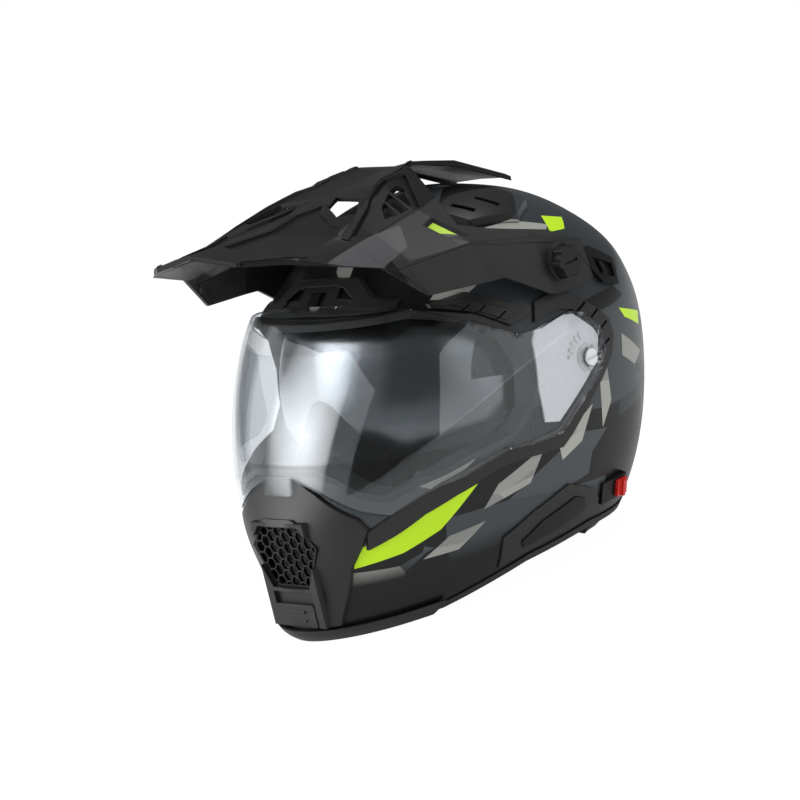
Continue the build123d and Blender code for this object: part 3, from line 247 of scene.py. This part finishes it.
def patch(corners, across, up):
    """A mask of the patch whose corners run clockwise in the side view."""
    mask = None
    for first, second in zip(corners, corners[1:] + corners[:1]):
        inside = below_line(first, second, across, up)
        mask = inside if mask is None else mask * inside
    return mask


def patches(outlines, across, up):
    """One mask of several patches."""
    mask = None
    for corners in outlines:
        added = patch(corners, across, up)
        mask = added if mask is None else mask.math("MAXIMUM", added)
    return mask


def facets(finish, turn, stretch, scale, seed):
    """Three random numbers for each facet of a pattern of large straight-sided patches."""
    placed = finish.node("ShaderNodeMapping", None, {
        "Vector": finish.point(), "Location": (seed, seed * facet_seed_ratio, -seed), "Rotation": turn,
        "Scale": stretch})
    cells = finish.node("ShaderNodeTexVoronoi", None, {"Vector": placed, "Scale": scale}, "Color")
    return finish.parts(cells)


lime_outlines = [
    [(-0.139, 0.048), (-0.1345, 0.062), (-0.113, 0.073), (-0.066, 0.084), (-0.093, 0.061), (-0.115, 0.052)],
    [(0.088, 0.152), (0.083, 0.16), (0.118, 0.148), (0.112, 0.14)],
    [(0.058, 0.222), (0.066, 0.232), (0.085, 0.226), (0.074, 0.22)],
    [(-0.014, 0.243), (-0.01, 0.251), (0.004, 0.248), (0.002, 0.236)],
]
shard_outlines = [
    [(-0.104, 0.0435), (-0.088, 0.0545), (-0.063, 0.0565), (-0.082, 0.043)],
    [(-0.064, 0.065), (-0.052, 0.0785), (-0.012, 0.0925), (-0.027, 0.071)],
    [(0.002, 0.077), (0.0, 0.09), (0.036, 0.106), (0.022, 0.084)],
    [(0.045, 0.086), (0.046, 0.118), (0.055, 0.131), (0.057, 0.102)],
    [(0.076, 0.128), (0.079, 0.143), (0.108, 0.122), (0.094, 0.116)],
    [(-0.05, 0.2055), (-0.038, 0.2135), (-0.02, 0.208), (-0.036, 0.2015)],
]
shell_point = shell_finish.point()
shell_y, shell_z = shell_finish.parts(shell_point)[1:]
large_first, large_second = facets(shell_finish, (0.5, 0.3, 0.8), (1.0, 0.6, 1.9), scale=13, seed=3.1)[:2]
small_first, _, small_third = facets(shell_finish, (-0.7, 0.5, 0.2), (1.2, 0.7, 2.2), scale=22, seed=7.7)
base_tone = shell_finish.node("ShaderNodeValToRGB", {"stops": [
    (0.0, black_paint), (0.4, slate_paint), (0.6, black_paint), (0.76, light_slate_paint)]}, [large_first])
shard_tone = shell_finish.node("ShaderNodeValToRGB", {"stops": [
    (0.0, black_paint), (0.25, slate_paint), (0.5, grey_paint), (0.76, pale_paint)]}, [small_first])
above_rim = shell_finish.node("ShaderNodeMapRange", None, {
    "Value": shell_z, "From Min": 0.035, "From Max": 0.05, "To Min": 0.0, "To Max": 1.0})
shell_colour = shell_finish.mix(base_tone, shard_tone, large_second > facets_with_shards)
shell_colour = shell_finish.mix(black_paint, shell_colour, above_rim)
drawn_shard_tone = shell_finish.mix(dull_shard_paint, bright_shard_paint, small_third)
shell_colour = shell_finish.mix(shell_colour, drawn_shard_tone, patches(shard_outlines, shell_y, shell_z))
shell_colour = shell_finish.mix(shell_colour, lime_paint, patches(lime_outlines, shell_y, shell_z))
fleck = shell_finish.node("ShaderNodeTexNoise", None, {"Vector": shell_point, "Scale": 900.0, "Detail": 2.0})
shell_finish.set(Base_Color=shell_colour, Roughness=0.36 + fleck * 0.08, Coat_Weight=0.12)
shell_finish.relief(fleck, strength=0.05, distance=0.0002, edge=0.0012)


def dress(finish, slot, *names):
    """Gives CAD pieces a finish in place of the one that they were packed with."""
    for name in names:
        nodes[name].data.materials.clear()
        nodes[name].data.materials.append(finish.material)


dress(shell_finish, "shell", "outer_shell", "crown_vent_left", "crown_vent_right")

# Peak: injection-moulded visor in fine satin black, with charcoal facets on its sides. Two arms carry it back
# to its knobs. Its sunk panels, louvred windows, ridges and edge strips are cut from copies of its own sheet,
# which are set lower or higher, and each side has an opening above its arm.
peak_middle = 0.062
flank_line, flank_front = ((-0.082, 0.2574), (-0.032, 0.2638)), -0.09
side_outline = [(-0.127, 0.2495), (-0.135, 0.254), (-0.085, 0.2583), (-0.059, 0.2588), (-0.071, 0.2465),
                (-0.101, 0.2405)]
flank_tone, side_tone = (0.023, 0.0235, 0.024), (0.062, 0.063, 0.066)
peak_finish = Finish("satin black peak", Specular_IOR_Level=0.16)
peak_point = peak_finish.point()
peak_x, peak_y, peak_z = peak_finish.parts(peak_point)
peak_first = facets(peak_finish, (0.2, 0.9, 0.4), (1.0, 1.0, 0.5), scale=9, seed=1.7)[0]
peak_tone = peak_finish.node("ShaderNodeValToRGB", {"stops": [
    (0.0, (0.0055, 0.0055, 0.0058)), (0.7, (0.0075, 0.0075, 0.008)), (0.9, (0.0095, 0.0098, 0.01))]}, [peak_first])
outer_part = peak_x.math("ABSOLUTE") > peak_middle
flank = below_line(*flank_line, peak_y, peak_z) * (peak_y > flank_front)
side_patch = patch(side_outline, peak_y, peak_z)
peak_colour = peak_finish.mix(peak_tone, flank_tone, flank * outer_part)
peak_colour = peak_finish.mix(peak_colour, side_tone, side_patch * outer_part)
peak_grain = peak_finish.node("ShaderNodeTexNoise", None, {
    "Vector": peak_point, "Scale": 1400.0, "Detail": 3.0})
peak_finish.set(Base_Color=peak_colour, Roughness=0.34 + peak_grain * 0.1)
peak_finish.relief(peak_grain, strength=0.08, distance=0.0002, edge=0.0012)
panel_drop, side_drop, ridge_rise = 0.0016, 0.0024, 0.0009
block_low, block_near, block_length = 0.15, 0.06, 0.2
millimetre = 0.001
merge_distance = 0.00002
moulded_crease = radians(22)


def merged_copy(name, node, flat_limit=0.0):
    """A closed copy of a CAD node, its loose triangles merged, and made flat faces where a limit is given."""
    bpy.ops.object.select_all(action="DESELECT")
    piece = bpy.data.objects.new(name, nodes[node].data.copy())
    bpy.context.scene.collection.objects.link(piece)
    bpy.context.view_layer.objects.active = piece
    piece.select_set(True)
    piece.data.materials.clear()
    bpy.ops.object.mode_set(mode="EDIT")
    bpy.ops.mesh.select_all(action="SELECT")
    bpy.ops.mesh.remove_doubles(threshold=merge_distance)
    if flat_limit:
        bpy.ops.mesh.dissolve_limited(angle_limit=flat_limit)
    else:
        bpy.ops.mesh.normals_make_consistent(inside=False)
    bpy.ops.object.mode_set(mode="OBJECT")
    return piece


def plan_block(outline, side):
    """A tall block over an outline in plan, given in millimetres for the left side."""
    corners = [(side * x * millimetre, y * millimetre, block_low) for x, y in outline]
    return drawn_block(corners, (0, 0, block_length))


def side_block(outline, side):
    """A long block across one side of the helmet, over an outline in the side view in millimetres."""
    corners = [(side * block_near, y * millimetre, z * millimetre) for y, z in outline]
    return drawn_block(corners, (side * block_length, 0, 0))


def drawn_block(corners, way):
    """A flat outline extruded along a way."""
    mesh = bpy.data.meshes.new("block")
    mesh.from_pydata(corners, [], [tuple(range(len(corners)))])
    block = bpy.data.objects.new("block", mesh)
    bpy.context.scene.collection.objects.link(block)
    bpy.ops.object.select_all(action="DESELECT")
    bpy.context.view_layer.objects.active = block
    block.select_set(True)
    bpy.ops.object.mode_set(mode="EDIT")
    bpy.ops.mesh.select_all(action="SELECT")
    bpy.ops.mesh.extrude_region_move(TRANSFORM_OT_translate={"value": way})
    bpy.ops.mesh.select_all(action="SELECT")
    bpy.ops.mesh.normals_make_consistent(inside=False)
    bpy.ops.object.mode_set(mode="OBJECT")
    return block


def carve(piece, operation, block, keep=False):
    """Cuts a block out of a piece, or cuts the piece down to the block, which goes unless it is kept."""
    bpy.context.view_layer.objects.active = piece
    modifier = piece.modifiers.new("carve", "BOOLEAN")
    modifier.operation, modifier.object, modifier.solver = operation, block, "EXACT"
    bpy.ops.object.modifier_apply(modifier="carve")
    if not keep:
        bpy.data.objects.remove(block)


peak_panels = [
    ([(5, -146), (5, -78), (13, -62), (24, -76), (42, -86), (58, -91), (69, -128), (66, -136), (18, -150)],
     -panel_drop, []),
    ([(71, -96), (60, -71), (37, -23), (42, -9), (74, -33), (76, -80)], -side_drop, [
        [(67.5, -60), (59.5, -53), (57, -48), (69, -49.5)],
        [(56, -45.5), (52.5, -37.5), (69.5, -39), (69.2, -46.8)],
        [(51.5, -35), (47.5, -25), (51, -22), (66, -32), (69, -36.5)]]),
    ([(74, -102), (58, -64), (34, -24), (35, -6), (28, 14), (25, 13), (31.5, -7), (30.5, -25), (54.5, -66),
      (70.5, -104)], ridge_rise, []),
    ([(42, -168), (75, -141), (73.5, -138.5), (40.5, -165)], ridge_rise, []),
]
arm_opening = [(86.5, -46), (85, -35.5), (109, -27.5), (103, -42.5)]
peak_piece = merged_copy("peak_visor", "peak_shell")
peak_parts = [peak_piece]
for side in (1, -1):
    carve(peak_piece, "DIFFERENCE", plan_block(arm_opening, side))
    for outline, rise, windows in peak_panels:
        block = plan_block(outline, side)
        part = merged_copy("peak_part", "peak_shell")
        carve(part, "INTERSECT", block, keep=True)
        part.data.transform(Matrix.Translation((0, 0, rise)))
        for window in windows:
            carve(part, "DIFFERENCE", plan_block(window, side))
        if rise < 0:
            carve(peak_piece, "DIFFERENCE", block)
        else:
            bpy.data.objects.remove(block)
        peak_parts.append(part)
bpy.ops.object.select_all(action="DESELECT")
for part in peak_parts:
    part.select_set(True)
bpy.context.view_layer.objects.active = peak_piece
bpy.ops.object.join()
bpy.ops.object.shade_smooth_by_angle(angle=moulded_crease)
peak_piece.data.materials.clear()
peak_piece.data.materials.append(peak_finish.material)
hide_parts("peak_shell")
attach(peak_piece, "peak")

# Trims: satin nylon mouldings in warm black round the shield's lobes, at the chin, on the brow and over the
# communicator's mount, with a fine spark-eroded grain.


def grained(finish, point, dark, light, scale, detail, roughness, spread, strength, distance, edge=0.0):
    """A fine grain takes a finish from one tone to another, roughens it unevenly and stands in relief."""
    grain = finish.node("ShaderNodeTexNoise", None, {"Vector": point, "Scale": scale, "Detail": detail})
    finish.set(Base_Color=finish.mix(dark, light, grain), Roughness=roughness + grain * spread)
    finish.relief(grain, strength, distance, edge)


trim_finish = Finish("satin warm black", Specular_IOR_Level=0.32)
grained(trim_finish, trim_finish.point(), dark=(0.0105, 0.01, 0.0096), light=(0.0165, 0.016, 0.0154), scale=1100.0,
        detail=2.0, roughness=0.4, spread=0.1, strength=0.12, distance=0.0002, edge=0.0008)
dress(trim_finish, "trim", "side_trim_left", "side_trim_right", "chin_guard", "chin_lip", "chin_shutter",
      "brow_vent", "peak_arm_left", "peak_arm_right", "comms_surround_left", "comms_surround_right")

# Brow panels: the same nylon, fixed over the eye port's upper corners. Each has three slots through its face,
# across its length, cut by long blocks from the side.
panel_slots = [
    [(-44, 195.2), (-37, 198.6), (-36.6, 197.8), (-43.6, 194.4)],
    [(-37, 191.8), (-29, 195.6), (-28.6, 194.8), (-36.6, 191)],
    [(-27, 185), (-19.4, 188.4), (-19, 187.6), (-26.6, 184.2)],
]
for name, side in (("brow_panel_left", 1), ("brow_panel_right", -1)):
    panel_piece = merged_copy(name.replace("panel", "cover"), name)
    for slot in panel_slots:
        carve(panel_piece, "DIFFERENCE", side_block(slot, side))
    bpy.ops.object.shade_smooth_by_angle(angle=moulded_crease)
    panel_piece.data.materials.clear()
    panel_piece.data.materials.append(trim_finish.material)
    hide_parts(name)
    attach(panel_piece, "helmet")

# Dark hardware: knobs, bosses, covers, sliders, grille and pins, moulded in black nylon that is a little
# glossier where fingers and coins turn it.
hard_finish = Finish("black nylon", Specular_IOR_Level=0.2)
grained(hard_finish, hard_finish.point(), dark=(0.005, 0.005, 0.0053), light=(0.009, 0.009, 0.0095), scale=700.0,
        detail=4.0, roughness=0.3, spread=0.16, strength=0.1, distance=0.0002, edge=0.0006)
dress(hard_finish, "dark", "chin_grille", "brow_vent_slider", "comms_cover_left", "comms_cover_right",
      "rear_exhaust_left", "rear_exhaust_right", "exhaust_slider_left", "exhaust_slider_right",
      "peak_knob_left", "peak_knob_right", "peak_boss_left", "peak_boss_right", "visor_pin_left",
      "visor_pin_right", "visor_lever_base")

# Pivot plates and buttons: moulded acetal in a pale grey, which shows through the shield's clear lobes. The
# plates lie on the shell, and the buttons hold the lobes on them.
plate_finish = Finish("grey acetal")
grained(plate_finish, plate_finish.point(), dark=(0.6, 0.605, 0.61), light=(0.72, 0.725, 0.73), scale=300.0,
        detail=3.0, roughness=0.3, spread=0.1, strength=0.05, distance=0.0003, edge=0.0006)
dress(plate_finish, "dark", "pivot_plate_left", "pivot_plate_right", "pivot_button_left", "pivot_button_right")

# Red lever of the sun visor and release lever of the buckle: glossy plastic, so that a gloved hand finds
# them. Both are moulded in one piece.
red_finish = Finish("red plastic")
grained(red_finish, red_finish.point(), dark=(0.5, 0.012, 0.01), light=(0.62, 0.02, 0.015), scale=500.0,
        detail=2.0, roughness=0.25, spread=0.1, strength=0.05, distance=0.0002, edge=0.0005)
dress(red_finish, "red", "visor_lever", "buckle_lever")

# Buckle and strap anchors: pressed steel, brushed in one direction, so that its grain is drawn out along
# their length.
steel_finish = Finish("brushed steel", Metallic=1.0)
steel_drawn = steel_finish.node("ShaderNodeMapping", None, {
    "Vector": steel_finish.point(), "Scale": (40, 1500, 1500)})
grained(steel_finish, steel_drawn, dark=(0.36, 0.36, 0.37), light=(0.55, 0.55, 0.56), scale=1.0, detail=3.0,
        roughness=0.25, spread=0.2, strength=0.08, distance=0.0001, edge=0.0004)
dress(steel_finish, "steel", "buckle_base", "buckle_tongue", "strap_anchor_left", "strap_anchor_right")

# Rubber: the eye port's gasket and the channel round the rim, both extruded, pushed onto the shell's edges
# and matt.
rubber_finish = Finish("matt rubber")
grained(rubber_finish, rubber_finish.point(), dark=(0.012, 0.012, 0.012), light=(0.02, 0.02, 0.02), scale=450.0,
        detail=5.0, roughness=0.55, spread=0.25, strength=0.15, distance=0.0003)
dress(rubber_finish, "rubber", "eye_port_gasket", "neck_trim")

# Foam liner: fused beads of black expanded foam, moulded in one piece that fills the shell and carries the
# pads.
foam_finish = Finish("black bead foam")
beads = foam_finish.node("ShaderNodeTexVoronoi", None, {"Vector": foam_finish.point(), "Scale": 260.0})
foam_finish.set(Base_Color=foam_finish.mix((0.022, 0.022, 0.023), (0.01, 0.01, 0.01), beads),
                Roughness=0.7 + beads * 0.2)
foam_finish.relief(1 - beads, strength=0.12, distance=0.0004)
dress(foam_finish, "foam", "eps_liner")

# Clear shield, its anti-fog pane and its latch tab: moulded polycarbonate with a hard gloss coat. Light
# passes through to the face space behind it. The shield's cut edge is darker. The sun visor is smoked.
mirror_tone = (0.9, 0.93, 0.95)
glance_power, glance_gloss, smear_gloss = 4.0, 0.7, 0.01
shield_crease = radians(30)
form_half = Vector((0.133, 0.19, 0.15))
edge_turn = 0.55


def clear_finish(name, tint, gloss, roughness):
    """Clear plastic: a mirror of little strength, stronger at a glance, over a clear or smoked body."""
    finish = Finish(name, Base_Color=flat_colour(mirror_tone), Metallic=1.0, Roughness=roughness)
    glance = finish.node("ShaderNodeLayerWeight", None, {"Blend": 0.5}, "Facing")
    smear = finish.node("ShaderNodeTexNoise", None, {"Vector": finish.point(), "Scale": 14.0, "Detail": 2.0})
    share = glance.math("POWER", glance_power) * glance_gloss + gloss + smear * smear_gloss
    clear_body = finish.node("ShaderNodeBsdfTransparent", None, {"Color": flat_colour(tint)})
    finish.join(share, clear_body, finish.body)
    return finish


shield_finish = clear_finish("clear shield", tint=(0.94, 0.95, 0.96), gloss=0.03, roughness=0.02)
pane_finish = clear_finish("anti-fog pane", tint=(0.93, 0.94, 0.95), gloss=0.012, roughness=0.05)
visor_finish = clear_finish("smoke visor", tint=(0.24, 0.25, 0.27), gloss=0.16, roughness=0.22)
edge_finish = clear_finish("cut edge of the shield", tint=(0.16, 0.17, 0.24), gloss=0.12, roughness=0.15)
dress(shield_finish, "clear", "latch_tab")
dress(pane_finish, "clear", "anti_fog_pane")
shield_piece = merged_copy("clear_shield_moulding", "shield")
bpy.ops.object.shade_smooth_by_angle(angle=shield_crease)
shield_piece.data.materials.append(shield_finish.material)
shield_piece.data.materials.append(edge_finish.material)
for face in shield_piece.data.polygons:
    outward = Vector((face.center.x / form_half.x ** 2, (face.center.y - pivot_y) / form_half.y ** 2,
                      (face.center.z - pivot_z) / form_half.z ** 2)).normalized()
    face.material_index = int(abs(face.normal.dot(outward)) < edge_turn)
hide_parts("shield")
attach(shield_piece, "clear_shield")
dress(visor_finish, "tint", "sun_visor")

# Padding: brushed polyester over foam. The cheek pads, the neck roll and the crown liner swell between
# their seams; each is blown up as cloth and settled, then subdivided.
pad_finish = Finish("brushed lining", Sheen_Weight=0.25, Sheen_Roughness=0.5)
pad_point = pad_finish.point()
knit = pad_finish.node("ShaderNodeTexVoronoi", None, {"Vector": pad_point, "Scale": 620.0})
pad_cloud = pad_finish.node("ShaderNodeTexNoise", None, {"Vector": pad_point, "Scale": 25.0, "Detail": 3.0})
pad_finish.set(Base_Color=pad_finish.mix((0.016, 0.016, 0.018), (0.034, 0.035, 0.038), pad_cloud),
               Roughness=0.85 + knit * 0.1)
pad_finish.relief(knit, strength=0.5, distance=0.0006)
pad_voxel, pad_soften, pad_soften_rounds = 0.005, 0.5, 4
pad_start, pad_cap = 0.0028, 0.0025
pad_pressure, pad_last_frame = 4, 20


def padded_piece(name, node):
    """A padded copy of a CAD node, swollen by a cloth simulation and kept inside its space."""
    piece = merged_copy(name, node)
    remesh = piece.modifiers.new("remesh", "REMESH")
    remesh.mode = "VOXEL"
    remesh.voxel_size = pad_voxel
    bpy.ops.object.modifier_apply(modifier="remesh")
    soften = piece.modifiers.new("soften", "SMOOTH")
    soften.factor, soften.iterations = pad_soften, pad_soften_rounds
    bpy.ops.object.modifier_apply(modifier="soften")
    bpy.context.view_layer.update()
    for vertex in piece.data.vertices:
        vertex.co -= vertex.normal * pad_start
    start = [vertex.co.copy() for vertex in piece.data.vertices]
    cloth = piece.modifiers.new("cloth", "CLOTH")
    cloth.settings.use_pressure = True
    cloth.settings.uniform_pressure_force = pad_pressure
    cloth.settings.effector_weights.gravity = 0
    cloth.point_cache.frame_start, cloth.point_cache.frame_end = 1, pad_last_frame
    for step in range(1, pad_last_frame + 1):
        bpy.context.scene.frame_set(step)
    bpy.ops.object.modifier_apply(modifier="cloth")
    bpy.context.scene.frame_set(1)
    for vertex, was in zip(piece.data.vertices, start):
        moved = vertex.co - was
        if moved.length > pad_cap:
            vertex.co = was + moved * (pad_cap / moved.length)
    finer = piece.modifiers.new("finer", "SUBSURF")
    finer.levels = finer.render_levels = 1
    bpy.ops.object.modifier_apply(modifier="finer")
    for face in piece.data.polygons:
        face.use_smooth = True
    piece.data.materials.append(pad_finish.material)
    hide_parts(node)
    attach(piece, "helmet")


padded_piece("left_cheek_cushion", "cheek_pad_left")
padded_piece("right_cheek_cushion", "cheek_pad_right")
padded_piece("neck_cushion", "neck_roll")
padded_piece("crown_cushion", "comfort_liner")

# Chin strap: flat woven webbing, folded and sewn to its anchor plate on each side, that hangs down to the
# buckle. Its edges are rounded, and its ribs and its weft show in the weave.
web_finish = Finish("black webbing")
web_point = web_finish.point()
ribs = web_finish.node("ShaderNodeTexWave", {"wave_type": "BANDS", "bands_direction": "X"}, {
    "Vector": web_point, "Scale": 260.0, "Distortion": 0.4})
weft = web_finish.node("ShaderNodeTexWave", {"wave_type": "BANDS", "bands_direction": "Y"}, {
    "Vector": web_point, "Scale": 420.0})
weave = ribs * weft
web_finish.set(Base_Color=web_finish.mix((0.01, 0.01, 0.01), (0.024, 0.024, 0.025), weave),
               Roughness=0.7 + ribs * 0.15)
web_finish.relief(weave, strength=0.5, distance=0.0005)
web_flat, web_crease = radians(1), radians(40)
web_edge, web_edge_steps = 0.0005, 2


def webbing(name, node):
    """A copy of the strap's solid, its flat faces made whole and its edges rounded."""
    piece = merged_copy(name, node, web_flat)
    rounded = piece.modifiers.new("rounded", "BEVEL")
    rounded.width, rounded.segments = web_edge, web_edge_steps
    rounded.limit_method = "ANGLE"
    bpy.ops.object.modifier_apply(modifier="rounded")
    bpy.ops.object.shade_smooth_by_angle(angle=web_crease)
    piece.data.materials.append(web_finish.material)
    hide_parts(node)
    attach(piece, "helmet")


webbing("left_webbing", "chin_strap_left")
webbing("right_webbing", "chin_strap_right")
